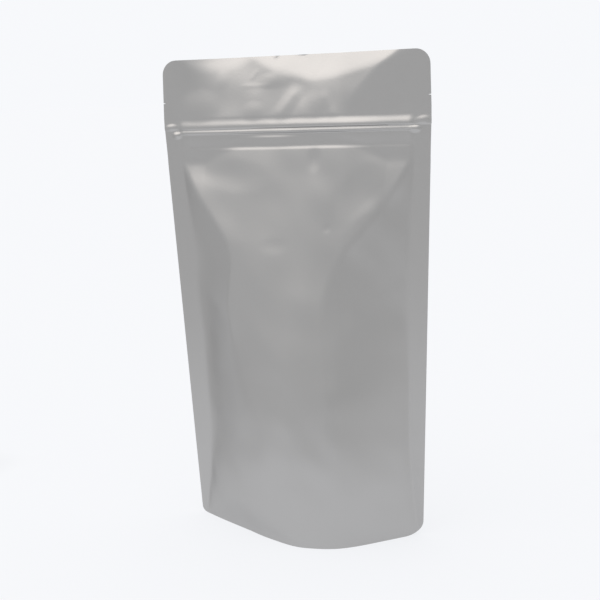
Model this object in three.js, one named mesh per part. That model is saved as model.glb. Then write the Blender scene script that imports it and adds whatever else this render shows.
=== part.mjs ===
// Foil stand-up pouch: two silver film panels sealed down both sides, with a zip near the mouth
// and a gusset that the filling spreads into a lens-shaped foot.
// Millimetres, +Z up, front towards -Y, origin on the floor at the middle of the outline.
import * as THREE from "three";

// Driving dimensions: the flat bag
const pouchHeight = 200;
const flatWidth = 120;
const sealWidth = 6.5;
const filmHalf = 0.4;
const cornerRadius = 6;
const notch = { height: 182, depth: 1.4, half: 0.9 };

// Driving dimensions: the zip, seen as the film over a raised tape, over three ribs on it, and in a lip where
// the film leaves the tape's foot. Each rises from its top to its crest and falls from its shelf to its foot.
// It is highest about a middle, lower at a half length from there, and lower or gone in the side seals.
const zipTop = 175;
const zipBands = [
  {
    top: zipTop, crest: 171.2, shelf: 168, foot: 162.2, rise: 0.6,
    middle: 18, half: 75, atEnds: 0.6, inSeal: 0.2,
  },
  {
    top: zipTop, crest: 171.2, shelf: 171, foot: 170.2, rise: 0.75,
    middle: 18, half: 75, atEnds: 0.6, inSeal: 0.5,
  },
  {
    top: 170.8, crest: 169.1, shelf: 168.8, foot: 168.2, rise: 0.7,
    middle: 0, half: 60, atEnds: 0.7, inSeal: 0,
  },
  {
    top: 168, crest: 166.2, shelf: 166.2, foot: 161.8, rise: 0.55,
    middle: -10, half: 24, atEnds: 0, inSeal: 0,
  },
  {
    top: 163.3, crest: 161.5, shelf: 161.5, foot: 150, rise: 0.32,
    middle: -2, half: 48, atEnds: 0.75, inSeal: 0,
  },
];
const pressedReach = 2.5;

// Driving dimensions: the filled belly and the shoulder that slopes from it up to the zip
const footWidth = 103.4;
const footDepth = 29.5;
const bellyUpright = 10;
const bellyLeaning = 100;
const shoulderHeight = 125;
const shoulderDepth = 10.8;
const shoulderTop = 168;
const shoulderCorner = 157;
const shoulderHalf = 41;
const shoulderTurn = 0.03;
const shoulderCrown = 0.06;
const crownRound = 10;
const facet = { x: 8, round: 4, rise: [50, 90], fade: [128, 105] };
const footSealWidth = 1.5;
const footSealReach = 60;
const footRound = 9;
const creaseRound = 0.7;
const roundReach = 65;
const sealRound = 0.6;

// Driving dimensions: the two sides of each panel. A flank has a slope at the foot, a bulge above it,
// a slope at the shoulder and a hollow beside the seal. The crown is how fast the belly falls away from
// its nose. The spans of the slope, the bulge and the crown are shares of the shoulder's height.
const frontLeft = {
  foot: 0.63, top: 0.58, eased: [0, 1], bulge: 0.28, bulgeRise: [0, 0.12], bulgeFall: [1, 0.75],
  hollow: 7, hollowRise: [0, 75], crown: 0.46, crownFade: [0.5, 1],
};
const frontRight = {
  foot: 1.15, top: 0.44, eased: [0.15, 1], bulge: 0.1, bulgeRise: [0, 0.3], bulgeFall: [0.8, 0.3],
  hollow: 4.5, hollowRise: [60, 110], crown: 0.3, crownFade: [0, 0.8],
};
const backLeft = {
  foot: 0.85, top: 0.55, eased: [0.1, 1], bulge: 0.3, bulgeRise: [0, 0.5], bulgeFall: [1, 0.6],
  hollow: 6, hollowRise: [20, 80], crown: 0.32, crownFade: [0.25, 1],
};
const backRight = {
  foot: 0.78, top: 0.55, eased: [0.1, 1], bulge: 0.35, bulgeRise: [0, 0.4], bulgeFall: [1, 0.7],
  hollow: 6, hollowRise: [10, 70], crown: 0.36, crownFade: [0.3, 1],
};
const leastHollow = 0.5;
const hollowFade = [150, 110];

// Each panel has its nose a little to one side at the foot, and the front has a facet right of its middle
const frontPanel = { side: -1, noseX: 9, facetTurn: 0.09, left: frontLeft, right: frontRight };
const backPanel = { side: 1, noseX: -2, facetTurn: 0, left: backLeft, right: backRight };

// Driving dimensions: the free flap above the zip, which leans back left of a crease
// and curls over further in two lobes at the mouth
const flapLean = 0.25;
const flapCurl = 0.0012;
const flapRound = 1;
const flapLeft = { share: 0.2, from: -28, to: -60 };
const flapCrease = { zipX: 23, mouthX: 46, power: 1.4, slope: 0.25 };
const mouthLobes = [
  { tip: 8, left: 27, right: 42, depth: 9.5, slope: 0.3, power: 1.7 },
  { tip: -38, left: 13, right: 18, depth: 4.6, slope: 0.19, power: 2.6 },
];
const lobeRound = 2;

// Driving dimensions: the underside, where the gusset film lies behind a standing rim.
// The shares are parts of the way from a rim to the middle, or for the pockets from the middle to an end.
const rimShare = 0.035;
const grooveTopShare = 0.14;
const grooveEndShare = 0.36;
const grooveHeight = 3.2;
const grooveSteepest = 0.2;
const pocketHeight = 9;
const pocketFrom = 0.35;
const pocketTop = 0.68;
const pocketEnd = 0.86;

// Mesh fineness
const columnCount = 38;
const columnCrowding = 0.25;
const cornerSteps = 5;
const bellyRows = 24;
const flapRows = 4;
const grooveSteps = 3;
const closestRows = 0.3;

const clamp = (value) => Math.min(1, Math.max(0, value));
const mix = (from, to, share) => from + (to - from) * share;

function smoothStep(from, to, value) {
  const share = clamp((value - from) / (to - from));
  return share * share * (3 - 2 * share);
}

// The lesser and the greater of two surfaces, with the crease between them rounded
function softMin(first, second, round) {
  const overlap = Math.max(round - Math.abs(first - second), 0);
  return Math.min(first, second) - (overlap * overlap) / (4 * round);
}

function softMax(first, second, round) {
  return -softMin(-first, -second, round);
}

// Half the distance between the side edges, before corners and notches are cut
function chordHalf(z) {
  const drawnIn = (flatWidth - footWidth) / 2;
  return flatWidth / 2 - drawnIn * clamp(1 - z / zipTop);
}

// Half the distance between the side edges, with rounded corners and the two tear notches
function edgeHalf(z) {
  const fromEnd = Math.min(z, pouchHeight - z);
  const above = Math.max(cornerRadius - fromEnd, 0);
  const corner = cornerRadius - Math.sqrt(cornerRadius ** 2 - above ** 2);
  const cut = notch.depth * clamp(1 - Math.abs(z - notch.height) / notch.half);
  return chordHalf(z) - corner - cut;
}

// Where the side seals end and the panels start to part
function sealInner(z) {
  const narrowing = clamp(1 - z / footSealReach) ** 2;
  return chordHalf(z) - mix(sealWidth, footSealWidth, narrowing);
}

// Rise of the film over the zip
function zipRise(x, z) {
  const inside = smoothStep(0, pressedReach, sealInner(z) - Math.abs(x));
  let rise = 0;
  for (const band of zipBands) {
    const face = Math.min(smoothStep(band.top, band.crest, z), smoothStep(band.foot, band.shelf, z));
    const strength = mix(1, band.atEnds, smoothStep(0, band.half, Math.abs(x - band.middle)));
    rise += band.rise * face * strength * mix(band.inSeal, 1, inside);
  }
  return rise;
}

// A side of the belly, which runs in from the seal and grows steeper on the way
function flankDepth(flank, inward, z) {
  const upShare = clamp(z / shoulderHeight);
  const bulged = smoothStep(...flank.bulgeRise, upShare) * smoothStep(...flank.bulgeFall, upShare);
  const slope = mix(flank.foot, flank.top, smoothStep(...flank.eased, upShare)) + flank.bulge * bulged;
  const fade = smoothStep(...flank.hollowRise, z) * smoothStep(...hollowFade, z);
  const hollow = leastHollow + flank.hollow * fade;
  return slope * (Math.hypot(Math.max(inward, 0), hollow) - hollow);
}

// How far the belly has leant back at a height: upright at the foot, then bending into an even lean
function bellyRun(z) {
  const span = bellyLeaning - bellyUpright;
  const share = clamp((z - bellyUpright) / span);
  return span * share ** 3 * (1 - share / 2) + Math.max(z - bellyLeaning, 0);
}

// How far the middle of a panel falls away to either side of its nose
function crownDepth(panel, x, upShare) {
  const noseX = mix(panel.noseX, 0, upShare);
  const flank = x < noseX ? panel.left : panel.right;
  const crown = mix(flank.crown, shoulderCrown, smoothStep(...flank.crownFade, upShare));
  return crown * (Math.hypot(x - noseX, crownRound) - crownRound);
}

// The middle of a panel: the belly up to the shoulder, then the slope towards the zip. It is crowned about
// its nose and turned a little to the right, and right of a line it has a facet that is turned further.
function frontDepth(panel, x, z, round) {
  const upShare = clamp(z / shoulderHeight);
  const belowZip = 1 - smoothStep(shoulderHeight, shoulderCorner, z);
  const belly = mix(footDepth, shoulderDepth, bellyRun(z) / bellyRun(shoulderHeight));
  const top = mix(shoulderTop, shoulderCorner, clamp(Math.abs(x) / shoulderHalf) ** 2);
  const shoulder = (shoulderDepth * (top - z)) / (top - shoulderHeight);
  const turned = (crownDepth(panel, x, upShare) + shoulderTurn * x * upShare) * belowZip;
  const facetTurn = panel.facetTurn * smoothStep(...facet.rise, z) * smoothStep(...facet.fade, z);
  return softMin(belly, shoulder, round) - turned - facetTurn * softMax(x - facet.x, 0, facet.round);
}

// How far a panel stands in front of the middle surface: the least of its middle and its two flanks
function panelDepth(panel, x, z) {
  const round = mix(footRound, creaseRound, smoothStep(0, roundReach, z));
  const left = flankDepth(panel.left, sealInner(z) + x, z);
  const right = flankDepth(panel.right, sealInner(z) - x, z);
  const depth = softMin(frontDepth(panel, x, z, round), softMin(left, right, round), round);
  return filmHalf + softMax(depth, 0, sealRound) + zipRise(x, z);
}

// Where the middle surface runs: upright to the zip, then leaning back as the flap does
function middleY(x, z) {
  const aboveZip = softMax(z - zipTop, 0, flapRound);
  const upShare = clamp((z - zipTop) / (pouchHeight - zipTop));
  const leftShare = mix(1, flapLeft.share, smoothStep(flapLeft.from, flapLeft.to, x));
  const whole = (flapLean * aboveZip + flapCurl * aboveZip ** 2) * leftShare;
  const inward = mix(flapCrease.zipX, flapCrease.mouthX, upShare ** flapCrease.power) - x;
  let lean = softMin(whole, flapCrease.slope * softMax(inward, 0, 2 * flapRound), flapRound);
  for (const lobe of mouthLobes) {
    const share = x < lobe.tip ? (lobe.tip - x) / lobe.left : (x - lobe.tip) / lobe.right;
    const depth = lobe.depth * (1 - share ** lobe.power);
    lean += lobe.slope * softMax(z - pouchHeight + depth, 0, lobeRound);
  }
  return lean;
}

// Height of the underside: a standing rim, a groove behind it, a flat middle that bears the load,
// and towards each end a pocket where the gusset is drawn up between the panels
function underHeight(x, inShare, halfSpan) {
  const rise = smoothStep(rimShare, grooveTopShare, inShare);
  const fall = 1 - smoothStep(grooveTopShare, grooveEndShare, inShare);
  const groove = Math.min(grooveHeight, grooveSteepest * halfSpan) * rise * fall;
  const along = (2 * Math.abs(x)) / footWidth;
  const drawnUp = smoothStep(pocketFrom, pocketTop, along) * smoothStep(pocketEnd, pocketTop, along);
  return groove + pocketHeight * drawnUp * smoothStep(rimShare, 1, inShare);
}

const spread = (from, to, count) => Array.from({ length: count + 1 }, (_, i) => mix(from, to, i / count));

// Heights of the mesh rows, closer together at the corners, the zip and the notches
function rowHeights() {
  const arc = spread(0, Math.PI / 2, cornerSteps).map((angle) => cornerRadius * (1 - Math.cos(angle)));
  const zipRows = zipBands.flatMap(({ top, crest, shelf, foot }) => [
    ...spread(foot, shelf, 2),
    ...spread(crest, top, 2),
  ]);
  const heights = [
    ...arc,
    ...spread(cornerRadius, shoulderCorner, bellyRows),
    ...zipRows.filter((z) => z > shoulderCorner),
    ...spread(zipTop + flapRound, notch.height - 2 * notch.half, 2),
    notch.height - notch.half, notch.height, notch.height + notch.half,
    ...spread(notch.height + 2 * notch.half, pouchHeight - cornerRadius, flapRows),
    ...arc.map((drop) => pouchHeight - drop),
  ];
  const sorted = heights.sort((a, b) => a - b);
  return sorted.filter((z, i) => i === 0 || z === pouchHeight || z - sorted[i - 1] > closestRows);
}

// Share of the half width at each mesh column, closer together towards the side seals
function columnShares() {
  return spread(-1, 1, columnCount).map((share) => share * (1 + columnCrowding * (1 - share * share)));
}

function panelRow(panel, z) {
  return columnShares().map((share) => {
    const x = share * edgeHalf(z);
    return [x, middleY(x, z) + panel.side * panelDepth(panel, x, z), z];
  });
}

// How far in from a rim the rows of the underside run, up to the middle
function underShares() {
  const groove = [
    ...spread(rimShare, grooveTopShare, grooveSteps),
    ...spread(grooveTopShare, grooveEndShare, grooveSteps).slice(1),
  ];
  return [...groove, (1 + grooveEndShare) / 2];
}

// Rows of the underside from the front rim to the back one, without the outermost columns
function underside(frontRim, backRim) {
  const inShares = underShares();
  const fromFront = [...inShares, 1, ...inShares.map((share) => 2 - share).reverse()];
  const inner = (row) => row.slice(1, -1);
  return fromFront.map((share) => inner(frontRim).map((front, column) => {
    const halfSpan = (inner(backRim)[column][1] - front[1]) / 2;
    const inShare = Math.min(share, 2 - share);
    return [front[0], front[1] + share * halfSpan, underHeight(front[0], inShare, halfSpan)];
  }));
}

// Collects points and triangles of one closed skin
class Skin {
  points = [];
  triangles = [];

  addRow(row) {
    const first = this.points.length;
    this.points.push(...row);
    return row.map((_, i) => first + i);
  }

  // Quads between two rows of point numbers, facing out when the second row is above the first
  // and both run anticlockwise seen from above
  join(lower, upper) {
    for (let i = 0; i + 1 < lower.length; i += 1) {
      this.triangles.push(lower[i], lower[i + 1], upper[i + 1]);
      this.triangles.push(lower[i], upper[i + 1], upper[i]);
    }
  }

  geometry() {
    const geometry = new THREE.BufferGeometry();
    geometry.setAttribute("position", new THREE.Float32BufferAttribute(this.points.flat(), 3));
    geometry.setIndex(this.triangles);
    return geometry;
  }
}

// The panels and side edges, as closed rings joined from the foot to the mouth
function addWalls(skin, rows) {
  const rings = rows.map(({ front, back }) => ({ front: skin.addRow(front), back: skin.addRow(back) }));
  const closed = ({ front, back }) => [...front, ...[...back].reverse(), front[0]];
  for (let i = 0; i + 1 < rings.length; i += 1) {
    skin.join(closed(rings[i]), closed(rings[i + 1]));
  }
  return rings;
}

// The underside between the rims of the lowest ring, with a fan at each end
function addUnderside(skin, foot, ring) {
  const under = underside(foot.front, foot.back).map((row) => skin.addRow(row));
  const across = [ring.front.slice(1, -1), ...under, ring.back.slice(1, -1)];
  for (let i = 0; i + 1 < across.length; i += 1) {
    skin.join(across[i + 1], across[i]);
  }
  const leftChain = [...across.map((row) => row[0]), ring.back[0]];
  const rightChain = [...across.map((row) => row.at(-1)), ring.back.at(-1)];
  for (let i = 0; i + 1 < leftChain.length; i += 1) {
    skin.triangles.push(ring.front[0], leftChain[i + 1], leftChain[i]);
    skin.triangles.push(ring.front.at(-1), rightChain[i], rightChain[i + 1]);
  }
}

function pouchGeometry() {
  const skin = new Skin();
  const rows = rowHeights().map((z) => ({
    front: panelRow(frontPanel, z),
    back: panelRow(backPanel, z),
  }));
  const rings = addWalls(skin, rows);
  const mouth = rings.at(-1);
  skin.join(mouth.front, mouth.back);
  addUnderside(skin, rows[0], rings[0]);
  const geometry = skin.geometry();
  geometry.computeBoundingBox();
  const box = geometry.boundingBox;
  geometry.translate(-(box.min.x + box.max.x) / 2, -(box.min.y + box.max.y) / 2, -box.min.z);
  geometry.computeVertexNormals();
  return geometry;
}

const foil = new THREE.MeshStandardMaterial({ color: 0xb5b4b4, roughness: 0.4, metalness: 1 });
const pouch = new THREE.Group();
const body = new THREE.Mesh(pouchGeometry(), foil);
body.name = "pouch";
pouch.add(body);

export default pouch;
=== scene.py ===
# Foil stand-up pouch: the creased film as a fine mesh in place of the plain solid, with studio and camera.
# Sizes are in millimetres until a mesh is made. The frame, the camera and the studio are in metres.
import math

import bpy
import numpy as np
from mathutils import Matrix, Vector


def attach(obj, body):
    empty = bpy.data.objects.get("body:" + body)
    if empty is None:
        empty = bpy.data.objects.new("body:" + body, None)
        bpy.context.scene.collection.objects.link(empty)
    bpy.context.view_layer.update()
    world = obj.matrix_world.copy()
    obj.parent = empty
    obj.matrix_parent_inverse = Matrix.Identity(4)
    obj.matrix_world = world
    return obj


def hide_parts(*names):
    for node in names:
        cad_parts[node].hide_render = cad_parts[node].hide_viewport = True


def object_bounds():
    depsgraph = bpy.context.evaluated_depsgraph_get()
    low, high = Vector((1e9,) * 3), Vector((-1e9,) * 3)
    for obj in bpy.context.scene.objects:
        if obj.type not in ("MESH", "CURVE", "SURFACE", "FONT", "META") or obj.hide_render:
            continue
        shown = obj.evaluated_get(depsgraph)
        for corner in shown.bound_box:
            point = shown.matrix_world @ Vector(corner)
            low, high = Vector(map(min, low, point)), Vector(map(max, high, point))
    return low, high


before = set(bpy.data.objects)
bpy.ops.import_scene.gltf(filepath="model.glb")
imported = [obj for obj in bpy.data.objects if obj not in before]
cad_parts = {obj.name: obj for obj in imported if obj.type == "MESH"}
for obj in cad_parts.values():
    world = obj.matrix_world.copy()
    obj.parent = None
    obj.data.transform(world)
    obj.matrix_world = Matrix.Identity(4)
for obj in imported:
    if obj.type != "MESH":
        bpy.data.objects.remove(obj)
cad_low, cad_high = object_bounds()

MM = 0.001

# The flat bag. Its lower left corner is tighter than the other three.
POUCH_HEIGHT = (cad_high.z - cad_low.z) / MM
FLAT_WIDTH = (cad_high.x - cad_low.x) / MM
SEAL_WIDTH = 6.5
FILM_HALF = 0.22
SOLID_FILM_HALF = 0.4
CORNER_RADIUS = 6
LEFT_FOOT_RADIUS = 3
NOTCH_HEIGHT = 182
NOTCH_DEPTH = 1.2
NOTCH_HALF = 0.2

# The zip: a raised tape, two ribs on it and a faint third one, and the lip where the film leaves the tape.
# The upper face of each runs from top to crest and its lower face from shelf to foot. It is highest about
# a middle, lower at a half length from there, and lower or gone in the side seals.
ZIP_TOP = 175
ZIP_FOOT = 160.5
ZIP_BANDS = (
    {"top": ZIP_TOP, "crest": 171.2, "shelf": 168, "foot": 162.2, "rise": 0.6,
     "middle": 18, "half": 75, "at_ends": 0.6, "in_seal": 0.2},
    {"top": ZIP_TOP, "crest": 171.2, "shelf": 171, "foot": 170.2, "rise": 0.75,
     "middle": 18, "half": 75, "at_ends": 0.6, "in_seal": 0.5},
    {"top": 170.8, "crest": 169.1, "shelf": 168.8, "foot": 168.2, "rise": 0.7,
     "middle": 0, "half": 60, "at_ends": 0.7, "in_seal": 0},
    {"top": 168, "crest": 166.2, "shelf": 166.2, "foot": 161.8, "rise": 0.55,
     "middle": -10, "half": 24, "at_ends": 0, "in_seal": 0},
    {"top": 163.3, "crest": 161.5, "shelf": 161.5, "foot": 150, "rise": 0.32,
     "middle": -2, "half": 48, "at_ends": 0.75, "in_seal": 0},
)
PRESSED_REACH = 2.5

# The filled belly and the shoulder that slopes from it up to the zip
FOOT_WIDTH = 103.4
FOOT_DEPTH = (cad_high.y - cad_low.y) / MM / 2 - SOLID_FILM_HALF
BELLY_UPRIGHT = 10
BELLY_LEANING = 100
SHOULDER_HEIGHT = 125
SHOULDER_DEPTH = 10.8
SHOULDER_TOP = 168
SHOULDER_CORNER = 157
SHOULDER_HALF = 41
SHOULDER_TURN = 0.03
SHOULDER_CROWN = 0.06
CROWN_ROUND = 10
FOOT_SEAL_WIDTH = 1.5
FOOT_SEAL_REACH = 60
FOOT_ROUND = 9
CREASE_ROUND = 0.7
ROUND_REACH = 95
SEAL_ROUND = 0.6
FACET_X = 8
FACET_ROUND = 4
FACET_RISE = (50, 90)
FACET_FADE = (128, 105)

# The free flap above the zip: it leans back left of a crease, and curls over further in lobes at the mouth
FLAP_LEAN = 0.25
FLAP_CURL = 0.0012
FLAP_LEFT = {"share": 0.2, "from": -28, "to": -60}
FLAP_ROUND = 1
FLAP_JOIN = 3
FLAP_CREASE = {"zip_x": 23, "mouth_x": 46, "power": 1.4, "slope": 0.25}
MOUTH_LOBES = (
    {"tip": 8, "left": 27, "right": 42, "depth": 9.5, "slope": 0.3, "power": 1.7},
    {"tip": -38, "left": 13, "right": 18, "depth": 4.6, "slope": 0.15, "power": 2.6},
    {"tip": -29, "left": 24, "right": 26, "depth": 24, "slope": 0.035, "power": 1.5},
)
LOBE_ROUND = 2

# Creases: their two ends, how far the film is folded out, and half the fold's width.
# The rounding of ridge and edges is a share of that half width, and the fade a share of the length.
CREASE_RIDGE = 0.15
CREASE_EDGE = 0.2
CREASE_FADE = 0.3
FRONT_CREASES = (
    {"ends": ((-8, 172.5), (3.5, 188)), "rise": 0.45, "half": 4},
    {"ends": ((19, 173), (13, 186)), "rise": 0.2, "half": 2.5},
    {"ends": ((-8, 188), (-26, 188)), "rise": 0.07, "half": 1.3},
    {"ends": ((-20, 190), (-17, 195)), "rise": 0.12, "half": 1.2},
    {"ends": ((20, 123), (54, 154)), "rise": 0.2, "half": 4},
    {"ends": ((47, 29), (54, 29)), "rise": -0.1, "half": 0.6},
)
BACK_CREASES = (
    {"ends": ((-16, 122), (-52, 153)), "rise": 0.2, "half": 4},
    {"ends": ((10, 119), (32, 130)), "rise": 0.12, "half": 3},
)

# Dents and swellings: middle, half length and half width, turn in degrees, and how far they stand out or in
FRONT_DENTS = (
    {"x": -26, "z": 151, "long": 18, "short": 8, "turn": -5, "rise": -0.36},
    {"x": 10, "z": 157, "long": 4, "short": 6, "turn": 0, "rise": -0.35},
    {"x": 30, "z": 144, "long": 16, "short": 10, "turn": 40, "rise": -0.45},
    {"x": 12, "z": 187, "long": 9, "short": 12, "turn": 0, "rise": 0.5},
    {"x": 25.5, "z": 101, "long": 4, "short": 16, "turn": 0, "rise": -0.4},
    {"x": 44, "z": 125, "long": 6, "short": 20, "turn": 0, "rise": 0.25},
    {"x": 37, "z": 117, "long": 11, "short": 14, "turn": 0, "rise": 0.5},
    {"x": 10, "z": 76, "long": 2, "short": 1.5, "turn": 0, "rise": -0.12},
    {"x": 17, "z": 129.5, "long": 2, "short": 2, "turn": 0, "rise": -0.2},
    {"x": -6, "z": 122.5, "long": 8, "short": 4, "turn": 0, "rise": -0.13},
    {"x": -43, "z": 180.5, "long": 11, "short": 8, "turn": 0, "rise": 0.45},
    {"x": -18, "z": 177.5, "long": 6, "short": 5, "turn": 0, "rise": 0.25},
    {"x": 9, "z": 179, "long": 8, "short": 7, "turn": 0, "rise": 0.3},
    {"x": -9, "z": 190, "long": 9, "short": 4, "turn": 0, "rise": 0.2},
    {"x": -33, "z": 191, "long": 4, "short": 5, "turn": 0, "rise": 0.12},
    {"x": -9.7, "z": 200.3, "long": 1.6, "short": 2, "turn": 0, "rise": 0.7},
    {"x": 3, "z": 200.5, "long": 6, "short": 1.1, "turn": 0, "rise": 0.35},
)
BACK_DENTS = (
    {"x": 24, "z": 149, "long": 17, "short": 9, "turn": 8, "rise": -0.35},
    {"x": -28, "z": 145, "long": 15, "short": 9, "turn": -35, "rise": -0.4},
    {"x": -6, "z": 118, "long": 9, "short": 4, "turn": 0, "rise": -0.2},
    {"x": -22, "z": 98, "long": 5, "short": 14, "turn": 0, "rise": -0.35},
)

# The crushed ends of the zip in the side seals, as dents of both panels
ZIP_ENDS = (
    {"x": -54, "z": 168.3, "long": 3, "short": 2, "turn": 0, "rise": 0.9},
    {"x": 53.4, "z": 168.9, "long": 3, "short": 2, "turn": 0, "rise": 0.8},
    {"x": -56.5, "z": 171.6, "long": 4, "short": 2, "turn": 5, "rise": 0.5},
    {"x": 56.5, "z": 172.4, "long": 4, "short": 2, "turn": 10, "rise": 0.35},
)

# Faint waves all over the film
WAVE_COUNT = 14
WAVE_LENGTHS = (9, 34)
WAVE_SLOPE = 0.012
WAVE_REACH = 6

# The two sides of each panel. A flank has a slope at the foot, a bulge above it, a slope at the shoulder and
# a hollow beside the seal. The crown is how fast the belly falls away from its nose. The spans of the slope,
# the bulge and the crown are shares of the shoulder's height, and the spans of the hollow are heights.
FRONT_LEFT = {
    "foot": 0.63, "top": 0.58, "eased": (0, 1),
    "bulge": 0.28, "bulge_rise": (0, 0.12), "bulge_fall": (1, 0.75),
    "hollow": 7, "hollow_rise": (0, 48), "crown": 0.46, "crown_fade": (0.5, 1),
}
FRONT_RIGHT = {
    "foot": 1.15, "top": 0.44, "eased": (0.15, 1),
    "bulge": 0.1, "bulge_rise": (0, 0.3), "bulge_fall": (0.8, 0.3),
    "hollow": 4.5, "hollow_rise": (60, 110), "crown": 0.3, "crown_fade": (0, 0.8),
}
BACK_LEFT = {
    "foot": 0.85, "top": 0.55, "eased": (0.1, 1),
    "bulge": 0.3, "bulge_rise": (0, 0.5), "bulge_fall": (1, 0.6),
    "hollow": 6, "hollow_rise": (20, 80), "crown": 0.32, "crown_fade": (0.25, 1),
}
BACK_RIGHT = {
    "foot": 0.78, "top": 0.55, "eased": (0.1, 1),
    "bulge": 0.35, "bulge_rise": (0, 0.4), "bulge_fall": (1, 0.7),
    "hollow": 6, "hollow_rise": (10, 70), "crown": 0.36, "crown_fade": (0.3, 1),
}
LEAST_HOLLOW = 0.5
HOLLOW_FADE = (150, 110)

# Each panel has its nose a little to one side at the foot, and the front has a facet right of its middle
FRONT_PANEL = {
    "side": -1, "nose_x": 9, "facet_turn": 0.09, "left": FRONT_LEFT, "right": FRONT_RIGHT,
    "creases": FRONT_CREASES, "dents": FRONT_DENTS, "wave_seed": 4,
}
BACK_PANEL = {
    "side": 1, "nose_x": -2, "facet_turn": 0, "left": BACK_LEFT, "right": BACK_RIGHT,
    "creases": BACK_CREASES, "dents": BACK_DENTS, "wave_seed": 5,
}

# The mouth, where the two films part a little
SLIT_DEPTH = 20
SLIT_GAP = 0.12
SLIT_LEAST = 0.02
PARTING_X = 9
PARTING_HALF = 6
PARTING_GAP = 0.7

# The underside: shares of the way from a rim to the middle, or for the pockets from the middle to an end
RIM_SHARE = 0.02
GROOVE_TOP_SHARE = 0.14
GROOVE_END_SHARE = 0.36
GROOVE_HEIGHT = 3.2
GROOVE_STEEPEST = 0.2
POCKET_HEIGHT = 9
POCKET_FROM = 0.35
POCKET_TOP = 0.68
POCKET_END = 0.86

# Mesh fineness. The fine rows of the zip run on above it by the margin.
COLUMNS = 150
COLUMN_CROWDING = 0.25
BELLY_STEP = 1
FLAP_STEP = 0.55
ZIP_STEP = 0.28
ZIP_MARGIN = 1
CORNER_STEPS = 10
SLIT_ROWS = 10
GROOVE_ROWS = 14
MIDDLE_ROWS = 8
SHARP_ANGLE = 50

# Camera, from the fit of the pouch's outline to the photograph
CAMERA_AZIMUTH = 23.6
CAMERA_ELEVATION = 9.65
CAMERA_ROLL = 2.45
CAMERA_DISTANCE = 0.5518
CAMERA_TARGET_HEIGHT = 0.0981
FOCAL_PIXELS = 1307
IMAGE_PIXELS = 600
SENSOR_WIDTH = 36

# Colours of the studio: a glowing table whose colours are painted light, pale walls round it, and a wide soft
# light overhead
# The table colours are a painted pool of light: white near the pouch, and dimmer far off to the left and to
# the right
TABLE_TOP = (0.932, 0.945, 0.972)
TABLE_LEFT = (0.685, 0.69, 0.7)
TABLE_RIGHT = (0.745, 0.75, 0.76)
BACK_WALL = (0.932, 0.943, 0.968)
FRONT_WALL = (0.72, 0.725, 0.735)
SIDE_WALL = (0.65, 0.655, 0.662)
HALF_UP = (0.87, 0.874, 0.88)
OVERHEAD = (1.85, 1.78, 1.72)

# Headings in the studio, and spreads. A spread is two cosines of the angle to a heading, between which one
# colour passes into another.
UP_HEADING = (0, 0, 1)
LIGHT_HEADING = (-0.26, 0, 0.966)
BACK_HEADING = (-0.4, 0.917, 0)
FRONT_HEADING = (-0.669, -0.743, 0)
RIGHT_HEADING = (0.94, -0.342, 0)
TABLE_HEADING = (-0.174, -0.985, 0)
HALF_UP_SPREAD = (0.335, 0.56)
OVERHEAD_SPREAD = (0.59, 0.75)
BACK_SPREAD = (0.82, 0.9)
FRONT_SPREAD = (0.72, 0.95)
TABLE_BACK_SPREAD = (0.4, 0.66)
TABLE_FRONT_SPREAD = (0.45, 0.8)
TABLE_RIGHT_SPREAD = (0.2, 0.8)
PAINTED_SHEEN_SPREAD = (0.48, 0.85)

# The table: how far from the pouch its painted light dims, its radius and number of sides, the share of it
# that takes shadow and the light that falls on it
TABLE_FRONT_REACH = (0.23, 0.5)
TABLE_SIDE_REACH = (0.175, 0.215)
TABLE_REACH = 12
TABLE_SIDES = 96
SHADED_SHARE = 0.12
LIGHT_ON_TABLE = 1.33

# The foil
FOIL_COLOR = (0.463, 0.459, 0.455)
FOIL_EDGE = (0.7, 0.7, 0.7)
SMOOTHEST = 0.3
ROUGHEST = 0.38
MOTTLE_SCALE = 60
MOTTLE_DETAIL = 4
GRAIN_SCALE = 900
GRAIN_DETAIL = 3
GRAIN_STRENGTH = 0.08
GRAIN_HEIGHT = 0.0002


def mix(start, end, share):
    return start + (end - start) * share


def smooth_step(start, end, value):
    share = np.clip((value - start) / (end - start), 0, 1)
    return share * share * (3 - 2 * share)


def soft_min(first, second, rounding):
    overlap = np.maximum(rounding - np.abs(first - second), 0)
    return np.minimum(first, second) - overlap ** 2 / (4 * rounding)


def soft_max(first, second, rounding):
    return -soft_min(-first, -second, rounding)


# Outline of the flat bag

def chord_half(z):
    drawn_in = (FLAT_WIDTH - FOOT_WIDTH) / 2
    return FLAT_WIDTH / 2 - drawn_in * np.clip(1 - z / ZIP_TOP, 0, 1)


def corner_inset(from_end, radius):
    """How far a rounded corner draws the edge in."""
    within = np.maximum(radius - from_end, 0)
    return radius - np.sqrt(radius ** 2 - within ** 2)


def edge_half(z, foot_radius):
    corners = corner_inset(z, foot_radius) + corner_inset(POUCH_HEIGHT - z, CORNER_RADIUS)
    notch = NOTCH_DEPTH * np.clip(1 - np.abs(z - NOTCH_HEIGHT) / NOTCH_HALF, 0, 1)
    return chord_half(z) - corners - notch


def seal_inner(z):
    narrowing = np.clip(1 - z / FOOT_SEAL_REACH, 0, 1) ** 2
    return chord_half(z) - mix(SEAL_WIDTH, FOOT_SEAL_WIDTH, narrowing)


# Form of the panels

def zip_rise(x, z):
    """How far the film stands out over the zip."""
    inside = smooth_step(0, PRESSED_REACH, seal_inner(z) - np.abs(x))
    rise = 0
    for band in ZIP_BANDS:
        upper = smooth_step(band["top"], band["crest"], z)
        lower = smooth_step(band["foot"], band["shelf"], z)
        strength = mix(1, band["at_ends"], smooth_step(0, band["half"], np.abs(x - band["middle"])))
        rise = rise + band["rise"] * np.minimum(upper, lower) * strength * mix(band["in_seal"], 1, inside)
    return rise


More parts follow.
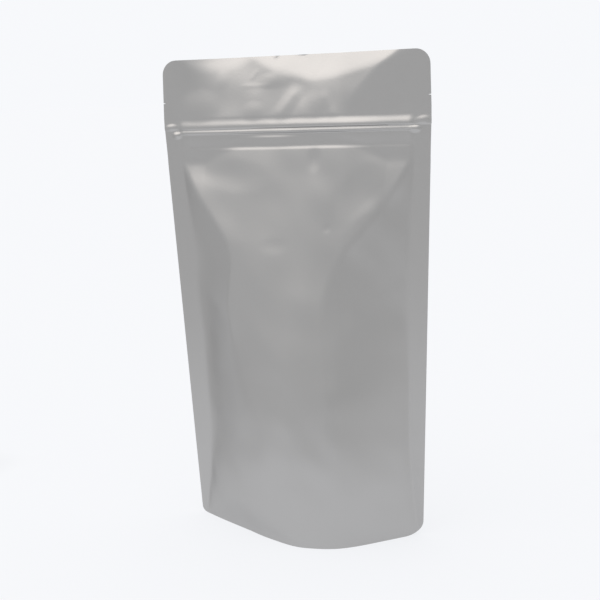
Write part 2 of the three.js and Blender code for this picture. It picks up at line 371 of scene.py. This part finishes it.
def flank_depth(flank, inward, z):
    """A side of the belly, which runs in from the seal and grows steeper on the way."""
    up_share = np.clip(z / SHOULDER_HEIGHT, 0, 1)
    bulged = smooth_step(*flank["bulge_rise"], up_share) * smooth_step(*flank["bulge_fall"], up_share)
    slope = mix(flank["foot"], flank["top"], smooth_step(*flank["eased"], up_share)) + flank["bulge"] * bulged
    hollowed = smooth_step(*flank["hollow_rise"], z) * smooth_step(*HOLLOW_FADE, z)
    hollow = LEAST_HOLLOW + flank["hollow"] * hollowed
    return slope * (np.hypot(np.maximum(inward, 0), hollow) - hollow)


def belly_run(z):
    """Upright at the foot, then bending back little by little into an even lean."""
    share = np.clip((z - BELLY_UPRIGHT) / (BELLY_LEANING - BELLY_UPRIGHT), 0, 1)
    bend = (BELLY_LEANING - BELLY_UPRIGHT) * share ** 3 * (1 - share / 2)
    return bend + np.maximum(z - BELLY_LEANING, 0)


def crown_depth(panel, x, up_share):
    """How far the middle of a panel falls away to either side of its nose."""
    nose_x = mix(panel["nose_x"], 0, up_share)
    left, right = (
        mix(flank["crown"], SHOULDER_CROWN, smooth_step(*flank["crown_fade"], up_share))
        for flank in (panel["left"], panel["right"]))
    return np.where(x < nose_x, left, right) * (np.hypot(x - nose_x, CROWN_ROUND) - CROWN_ROUND)


def front_depth(panel, x, z, rounding):
    """The belly up to the shoulder, then the slope towards the zip, less the crown and the facet."""
    up_share = np.clip(z / SHOULDER_HEIGHT, 0, 1)
    below_zip = 1 - smooth_step(SHOULDER_HEIGHT, SHOULDER_CORNER, z)
    belly = mix(FOOT_DEPTH, SHOULDER_DEPTH, belly_run(z) / belly_run(SHOULDER_HEIGHT))
    top = mix(SHOULDER_TOP, SHOULDER_CORNER, np.clip(np.abs(x) / SHOULDER_HALF, 0, 1) ** 2)
    shoulder = SHOULDER_DEPTH * (top - z) / (top - SHOULDER_HEIGHT)
    turned = (crown_depth(panel, x, up_share) + SHOULDER_TURN * x * up_share) * below_zip
    facet_turn = panel["facet_turn"] * smooth_step(*FACET_RISE, z) * smooth_step(*FACET_FADE, z)
    return soft_min(belly, shoulder, rounding) - turned - facet_turn * soft_max(x - FACET_X, 0, FACET_ROUND)


def panel_depth(panel, x, z):
    """How far a panel stands out from the middle: the least of its front and its two flanks."""
    rounding = mix(FOOT_ROUND, CREASE_ROUND, smooth_step(0, ROUND_REACH, z))
    left = flank_depth(panel["left"], seal_inner(z) + x, z)
    right = flank_depth(panel["right"], seal_inner(z) - x, z)
    depth = soft_min(front_depth(panel, x, z, rounding), soft_min(left, right, rounding), rounding)
    return FILM_HALF + soft_max(depth, 0, SEAL_ROUND) + zip_rise(x, z)


def flap_lean(x, z):
    """How far both films lean back above the zip."""
    above_zip = soft_max(z - ZIP_TOP, 0, FLAP_ROUND)
    up_share = np.clip((z - ZIP_TOP) / (POUCH_HEIGHT - ZIP_TOP), 0, 1)
    left_share = mix(1, FLAP_LEFT["share"], smooth_step(FLAP_LEFT["from"], FLAP_LEFT["to"], x))
    lean = (FLAP_LEAN * above_zip + FLAP_CURL * above_zip ** 2) * left_share
    inward = mix(FLAP_CREASE["zip_x"], FLAP_CREASE["mouth_x"], up_share ** FLAP_CREASE["power"]) - x
    lean = soft_min(lean, FLAP_CREASE["slope"] * soft_max(inward, 0, 2 * FLAP_ROUND), FLAP_ROUND)
    for lobe in MOUTH_LOBES:
        from_tip = x - lobe["tip"]
        share = np.abs(from_tip) / np.where(from_tip < 0, lobe["left"], lobe["right"])
        depth = lobe["depth"] * (1 - share ** lobe["power"])
        lean = lean + lobe["slope"] * soft_max(z - POUCH_HEIGHT + depth, 0, LOBE_ROUND)
    return lean


def crease_rise(crease, x, z):
    """A fold with straight sides along a line, fading out at both ends."""
    (start_x, start_z), (end_x, end_z) = crease["ends"]
    run_x, run_z = end_x - start_x, end_z - start_z
    length = math.hypot(run_x, run_z)
    along = ((x - start_x) * run_x + (z - start_z) * run_z) / length ** 2
    across = ((x - start_x) * run_z - (z - start_z) * run_x) / length
    tent = soft_max(1 - np.hypot(across / crease["half"], CREASE_RIDGE), 0, CREASE_EDGE)
    return crease["rise"] * tent * smooth_step(0, CREASE_FADE, along) * smooth_step(1, 1 - CREASE_FADE, along)


def dent_rise(dent, x, z):
    turn = math.radians(dent["turn"])
    along = (x - dent["x"]) * math.cos(turn) + (z - dent["z"]) * math.sin(turn)
    across = (z - dent["z"]) * math.cos(turn) - (x - dent["x"]) * math.sin(turn)
    inside = np.clip(1 - (along / dent["long"]) ** 2 - (across / dent["short"]) ** 2, 0, 1)
    return dent["rise"] * inside ** 2


def film_waves(seed, x, z):
    draw = np.random.default_rng(seed)
    height = 0
    for _ in range(WAVE_COUNT):
        length = draw.uniform(*WAVE_LENGTHS)
        heading, phase = draw.uniform(0, 2 * math.pi, 2)
        along = x * math.cos(heading) + z * math.sin(heading)
        height = height + WAVE_SLOPE * length / (2 * math.pi) * np.sin(2 * math.pi * along / length + phase)
    return height * smooth_step(0, WAVE_REACH, seal_inner(z) - np.abs(x))


def film_shift(panel, x, z):
    """How far a panel's waves, creases and dents move its film along y."""
    rise = film_waves(panel["wave_seed"], x, z)
    for crease in panel["creases"]:
        rise = rise + crease_rise(crease, x, z)
    for dent in panel["dents"] + ZIP_ENDS:
        rise = rise + dent_rise(dent, x, z)
    return panel["side"] * rise


def flap_middle(x, z):
    """Where the two films of the flap lie on each other."""
    return flap_lean(x, z) + film_shift(FRONT_PANEL, x, z)


def panel_points(panel, x, z):
    in_flap = smooth_step(ZIP_TOP, ZIP_TOP + FLAP_JOIN, z)
    middle = mix(flap_lean(x, z) + film_shift(panel, x, z), flap_middle(x, z), in_flap)
    return np.stack([x, middle + panel["side"] * panel_depth(panel, x, z), z], axis=-1)


# Rows and columns of the mesh

def spread(start, end, step):
    return np.linspace(start, end, max(2, int(round((end - start) / step)) + 1))


def row_heights():
    arc = CORNER_RADIUS * (1 - np.cos(np.linspace(0, math.pi / 2, CORNER_STEPS + 1)))
    heights = np.concatenate([
        arc,
        spread(CORNER_RADIUS, ZIP_FOOT, BELLY_STEP),
        spread(ZIP_FOOT, ZIP_TOP + ZIP_MARGIN, ZIP_STEP),
        spread(ZIP_TOP + ZIP_MARGIN, NOTCH_HEIGHT - 2 * NOTCH_HALF, FLAP_STEP),
        NOTCH_HEIGHT + NOTCH_HALF * np.array([-1, 0, 1]),
        spread(NOTCH_HEIGHT + 2 * NOTCH_HALF, POUCH_HEIGHT - CORNER_RADIUS, FLAP_STEP),
        POUCH_HEIGHT - arc,
    ])
    return np.unique(np.round(heights, 3))


def column_shares():
    share = np.linspace(-1, 1, COLUMNS + 1)
    return share * (1 + COLUMN_CROWDING * (1 - share ** 2))


# Mesh building

class Skin:
    """Points and faces of one closed skin. Rows are arrays of points, kept as rows of point numbers."""

    def __init__(self):
        self.points = []
        self.faces = []
        self.count = 0

    def add_row(self, row):
        first = self.count
        self.points.append(row)
        self.count += len(row)
        return list(range(first, self.count))

    def join(self, lower, upper):
        for i in range(len(lower) - 1):
            self.faces.append((lower[i], lower[i + 1], upper[i + 1], upper[i]))

    def make(self, name):
        mesh = bpy.data.meshes.new(name)
        mesh.from_pydata((np.concatenate(self.points) * MM).tolist(), [], self.faces)
        mesh.validate()
        mesh.shade_smooth()
        mesh.set_sharp_from_angle(angle=math.radians(SHARP_ANGLE))
        piece = bpy.data.objects.new(name, mesh)
        bpy.context.scene.collection.objects.link(piece)
        return piece


def add_walls(skin, fronts, backs):
    rings = [(skin.add_row(front), skin.add_row(back)) for front, back in zip(fronts, backs)]
    closed = [front + back[::-1] + front[:1] for front, back in rings]
    for lower, upper in zip(closed, closed[1:]):
        skin.join(lower, upper)
    return rings


def under_height(x, in_share, half_span):
    rise = smooth_step(RIM_SHARE, GROOVE_TOP_SHARE, in_share)
    fall = 1 - smooth_step(GROOVE_TOP_SHARE, GROOVE_END_SHARE, in_share)
    groove = np.minimum(GROOVE_HEIGHT, GROOVE_STEEPEST * half_span) * rise * fall
    along = 2 * np.abs(x) / FOOT_WIDTH
    drawn_up = smooth_step(POCKET_FROM, POCKET_TOP, along) * smooth_step(POCKET_END, POCKET_TOP, along)
    return groove + POCKET_HEIGHT * drawn_up * smooth_step(RIM_SHARE, 1, in_share)


def add_underside(skin, front_rim, back_rim, ring):
    groove = np.linspace(RIM_SHARE, GROOVE_END_SHARE, GROOVE_ROWS)
    middle = np.linspace(GROOVE_END_SHARE, 1, MIDDLE_ROWS + 2)[1:-1]
    in_shares = np.concatenate([groove, middle])
    shares = np.concatenate([in_shares, [1], 2 - in_shares[::-1]])
    front, back = front_rim[1:-1], back_rim[1:-1]
    half_span = (back[:, 1] - front[:, 1]) / 2
    rows = [ring[0][1:-1]]
    for share in shares:
        x = front[:, 0]
        height = under_height(x, min(share, 2 - share), half_span)
        rows.append(skin.add_row(np.stack([x, front[:, 1] + share * half_span, height], axis=-1)))
    rows.append(ring[1][1:-1])
    for nearer, farther in zip(rows, rows[1:]):
        skin.join(farther, nearer)
    left_chain = [row[0] for row in rows] + [ring[1][0]]
    right_chain = [row[-1] for row in rows] + [ring[1][-1]]
    for i in range(len(left_chain) - 1):
        skin.faces.append((ring[0][0], left_chain[i + 1], left_chain[i]))
        skin.faces.append((ring[0][-1], right_chain[i], right_chain[i + 1]))


def slit_gap(x, down_share):
    parted = np.clip(1 - ((x - PARTING_X) / PARTING_HALF) ** 2, 0, 1)
    return (SLIT_GAP + PARTING_GAP * parted) * (1 - down_share) + SLIT_LEAST


def add_mouth(skin, ring, shares):
    """The slit between the two films, from the mouth down towards the zip."""
    inner = np.flatnonzero(np.abs(shares) * FLAT_WIDTH / 2 < FLAT_WIDTH / 2 - SEAL_WIDTH)
    first, last = inner[0], inner[-1]
    front_top = ring[0][first:last + 1]
    back_top = ring[1][first:last + 1]
    front_rows, back_rows = [], []
    for down_share in np.linspace(0, 1, SLIT_ROWS):
        z = np.full(len(inner), POUCH_HEIGHT - SLIT_DEPTH * down_share)
        x = shares[inner] * edge_half(POUCH_HEIGHT, CORNER_RADIUS)
        middle = flap_middle(x, z)
        half = slit_gap(x, down_share) / 2
        front_rows.append(skin.add_row(np.stack([x, middle - half, z], axis=-1)))
        back_rows.append(skin.add_row(np.stack([x, middle + half, z], axis=-1)))
    skin.join(front_top, front_rows[0])
    for upper, lower in zip(front_rows, front_rows[1:]):
        skin.join(upper, lower)
    skin.join(front_rows[-1], back_rows[-1])
    for lower, upper in zip(back_rows[::-1], back_rows[-2::-1]):
        skin.join(lower, upper)
    skin.join(back_rows[0], back_top)
    for front_upper, front_lower, back_upper, back_lower in zip(
            front_rows, front_rows[1:], back_rows, back_rows[1:]):
        skin.faces.append((front_upper[0], front_lower[0], back_lower[0], back_upper[0]))
        skin.faces.append((front_upper[-1], back_upper[-1], back_lower[-1], front_lower[-1]))
    skin.join(ring[0][:first], ring[1][:first])
    skin.join(ring[0][last + 1:], ring[1][last + 1:])
    skin.faces.append((ring[0][first - 1], ring[0][first], front_rows[0][0],
                       back_rows[0][0], ring[1][first], ring[1][first - 1]))
    skin.faces.append((ring[0][last], ring[0][last + 1], ring[1][last + 1],
                       ring[1][last], back_rows[0][-1], front_rows[0][-1]))


def make_pouch():
    heights, shares = row_heights(), column_shares()
    z = np.repeat(heights[:, None], len(shares), axis=1)
    foot_radius = np.where(shares < 0, LEFT_FOOT_RADIUS, CORNER_RADIUS)
    x = shares * edge_half(heights[:, None], foot_radius)
    fronts = panel_points(FRONT_PANEL, x, z)
    backs = panel_points(BACK_PANEL, x, z)
    skin = Skin()
    rings = add_walls(skin, fronts, backs)
    add_mouth(skin, rings[-1], shares)
    add_underside(skin, fronts[0], backs[0], rings[0])
    return skin.make("pouch_film")


# Materials

def foil_material():
    material = bpy.data.materials.new("foil")
    material.use_nodes = True
    nodes, links = material.node_tree.nodes, material.node_tree.links
    shader = nodes["Principled BSDF"]
    shader.inputs["Base Color"].default_value = (*FOIL_COLOR, 1)
    shader.inputs["Metallic"].default_value = 1
    shader.inputs["Specular Tint"].default_value = (*FOIL_EDGE, 1)
    place = nodes.new("ShaderNodeTexCoord")
    mottle = nodes.new("ShaderNodeTexNoise")
    mottle.inputs["Scale"].default_value = MOTTLE_SCALE
    mottle.inputs["Detail"].default_value = MOTTLE_DETAIL
    links.new(place.outputs["Object"], mottle.inputs["Vector"])
    roughness = nodes.new("ShaderNodeMapRange")
    roughness.inputs["To Min"].default_value = SMOOTHEST
    roughness.inputs["To Max"].default_value = ROUGHEST
    links.new(mottle.outputs["Fac"], roughness.inputs["Value"])
    links.new(roughness.outputs["Result"], shader.inputs["Roughness"])
    grain = nodes.new("ShaderNodeTexNoise")
    grain.inputs["Scale"].default_value = GRAIN_SCALE
    grain.inputs["Detail"].default_value = GRAIN_DETAIL
    links.new(place.outputs["Object"], grain.inputs["Vector"])
    bump = nodes.new("ShaderNodeBump")
    bump.inputs["Strength"].default_value = GRAIN_STRENGTH
    bump.inputs["Distance"].default_value = GRAIN_HEIGHT
    links.new(grain.outputs["Fac"], bump.inputs["Height"])
    links.new(bump.outputs["Normal"], shader.inputs["Normal"])
    return material


# Studio

def ease(tree, value, start, end):
    """A smooth rise from 0 to 1 as a value goes from start to end."""
    rise = tree.nodes.new("ShaderNodeMapRange")
    rise.interpolation_type = "SMOOTHSTEP"
    rise.inputs["From Min"].default_value = start
    rise.inputs["From Max"].default_value = end
    tree.links.new(value, rise.inputs["Value"])
    return rise.outputs["Result"]


def blend(tree, share, first, second):
    """A colour between two, each given as a colour or as the output of a node."""
    blended = tree.nodes.new("ShaderNodeMix")
    blended.data_type = "RGBA"
    tree.links.new(share, blended.inputs["Factor"])
    for name, color in (("A", first), ("B", second)):
        if isinstance(color, tuple):
            blended.inputs[name].default_value = (*color, 1)
        else:
            tree.links.new(color, blended.inputs[name])
    return blended.outputs["Result"]


def heading_share(tree, vector, heading, limits):
    """How far a direction points along a heading, between two limits."""
    along = tree.nodes.new("ShaderNodeVectorMath")
    along.operation = "DOT_PRODUCT"
    along.inputs[1].default_value = heading
    tree.links.new(vector, along.inputs[0])
    return ease(tree, along.outputs["Value"], *limits)


def wall_color(tree, vector):
    """The pale walls all round: bright behind the pouch, softer in front and dimmer at the sides."""
    front_share = heading_share(tree, vector, FRONT_HEADING, FRONT_SPREAD)
    back_share = heading_share(tree, vector, BACK_HEADING, BACK_SPREAD)
    return blend(tree, back_share, blend(tree, front_share, SIDE_WALL, FRONT_WALL), BACK_WALL)


def painted_table_light(tree, vector, reach):
    """White behind the pouch and near it, as painted light. The painted pool dims slowly towards the front
    and soon to both sides.
    """
    painted_sheen_share = heading_share(tree, vector, FRONT_HEADING, PAINTED_SHEEN_SPREAD)
    # Painted sheen: the far table in front is painted brighter towards the front heading
    front_far = blend(tree, painted_sheen_share, SIDE_WALL, FRONT_WALL)
    front = blend(tree, ease(tree, reach, *TABLE_FRONT_REACH), TABLE_TOP, front_far)
    right_share = heading_share(tree, vector, RIGHT_HEADING, TABLE_RIGHT_SPREAD)
    side_far = blend(tree, right_share, TABLE_LEFT, TABLE_RIGHT)
    side = blend(tree, ease(tree, reach, *TABLE_SIDE_REACH), TABLE_TOP, side_far)
    front_share = heading_share(tree, vector, TABLE_HEADING, TABLE_FRONT_SPREAD)
    back_share = heading_share(tree, vector, BACK_HEADING, TABLE_BACK_SPREAD)
    return blend(tree, back_share, blend(tree, front_share, side, front), TABLE_TOP)


def make_world():
    world = bpy.data.worlds.new("studio")
    bpy.context.scene.world = world
    world.use_nodes = True
    tree = world.node_tree
    place = tree.nodes.new("ShaderNodeTexCoord")
    vector = place.outputs["Generated"]
    half_up_share = heading_share(tree, vector, UP_HEADING, HALF_UP_SPREAD)
    overhead_share = heading_share(tree, vector, LIGHT_HEADING, OVERHEAD_SPREAD)
    low = blend(tree, half_up_share, wall_color(tree, vector), HALF_UP)
    sky = blend(tree, overhead_share, low, OVERHEAD)
    tree.links.new(sky, tree.nodes["Background"].inputs["Color"])


def painted_glow_table_material():
    """A white table that glows though it is no lamp: its glow is painted light that stands in for the light
    on it, so that it takes only a faint shadow.
    """
    material = bpy.data.materials.new("painted_light_table")
    material.use_nodes = True
    tree = material.node_tree
    tree.nodes.remove(tree.nodes["Principled BSDF"])
    place = tree.nodes.new("ShaderNodeTexCoord")
    heading = tree.nodes.new("ShaderNodeVectorMath")
    heading.operation = "NORMALIZE"
    tree.links.new(place.outputs["Object"], heading.inputs[0])
    reach = tree.nodes.new("ShaderNodeVectorMath")
    reach.operation = "LENGTH"
    tree.links.new(place.outputs["Object"], reach.inputs[0])
    color = painted_table_light(tree, heading.outputs["Vector"], reach.outputs["Value"])
    # Painted light: the glow carries the painted colours, and its strength makes up for the shadow share, so
    # that where unshadowed the table shows its colour
    painted_glow = tree.nodes.new("ShaderNodeEmission")
    painted_glow.inputs["Strength"].default_value = (1 - SHADED_SHARE * LIGHT_ON_TABLE) / (1 - SHADED_SHARE)
    paint = tree.nodes.new("ShaderNodeBsdfDiffuse")
    surface = tree.nodes.new("ShaderNodeMixShader")
    surface.inputs["Fac"].default_value = SHADED_SHARE
    tree.links.new(color, painted_glow.inputs["Color"])
    tree.links.new(color, paint.inputs["Color"])
    tree.links.new(painted_glow.outputs["Emission"], surface.inputs[1])
    tree.links.new(paint.outputs["BSDF"], surface.inputs[2])
    tree.links.new(surface.outputs["Shader"], tree.nodes["Material Output"].inputs["Surface"])
    return material


def make_floor():
    bpy.ops.mesh.primitive_circle_add(vertices=TABLE_SIDES, radius=TABLE_REACH, fill_type="NGON")
    floor = bpy.context.object
    floor.name = "floor"
    floor.data.materials.append(painted_glow_table_material())


def make_camera():
    azimuth, elevation, roll = (math.radians(a) for a in (CAMERA_AZIMUTH, CAMERA_ELEVATION, CAMERA_ROLL))
    back = Vector((math.sin(azimuth) * math.cos(elevation),
                   -math.cos(azimuth) * math.cos(elevation), math.sin(elevation)))
    right = Vector((math.cos(azimuth), math.sin(azimuth), 0))
    up = back.cross(right)
    rolled_right = right * math.cos(roll) - up * math.sin(roll)
    rolled_up = right * math.sin(roll) + up * math.cos(roll)
    data = bpy.data.cameras.new("camera")
    data.sensor_width = SENSOR_WIDTH
    data.lens = SENSOR_WIDTH * FOCAL_PIXELS / IMAGE_PIXELS
    camera = bpy.data.objects.new("camera", data)
    turn = Matrix((rolled_right, rolled_up, back)).transposed().to_4x4()
    place = Vector((0, 0, CAMERA_TARGET_HEIGHT)) + back * CAMERA_DISTANCE
    camera.matrix_world = Matrix.Translation(place) @ turn
    bpy.context.scene.collection.objects.link(camera)
    bpy.context.scene.camera = camera


make_camera()
make_world()
make_floor()
bpy.context.scene.view_settings.view_transform = "Standard"

pouch = make_pouch()
pouch.data.materials.append(foil_material())
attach(pouch, "root")
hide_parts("pouch")
